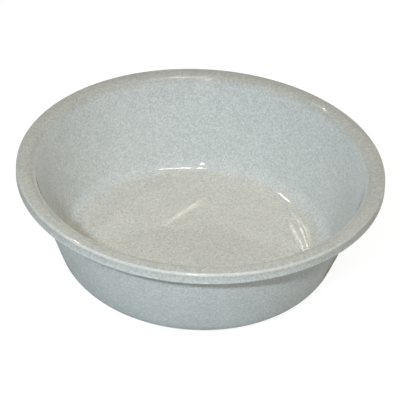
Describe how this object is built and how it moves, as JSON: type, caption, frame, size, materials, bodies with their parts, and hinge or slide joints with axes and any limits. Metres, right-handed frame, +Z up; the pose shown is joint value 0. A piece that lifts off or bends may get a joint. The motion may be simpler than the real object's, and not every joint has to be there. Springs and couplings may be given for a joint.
{
  "type": "plastic basin",
  "caption": "Round washing-up basin moulded in speckled pale grey plastic, with sloping sides, a flat-topped rim, a hanging skirt to grip and a low foot ring.",
  "frame": {"origin": "middle of the plane that the foot ring stands on", "axes": "+Z is up, along the axis that the bowl is turned about; X and Y are alike"},
  "size_m": [0.358, 0.358, 0.111],
  "materials": {
    "moulded_plastic": "soft-gloss injection-moulded plastic, pale grey-blue with fine darker flecks"
  },
  "bodies": {
    "root": {"basin": "moulded_plastic"}
  },
  "joints": []
}
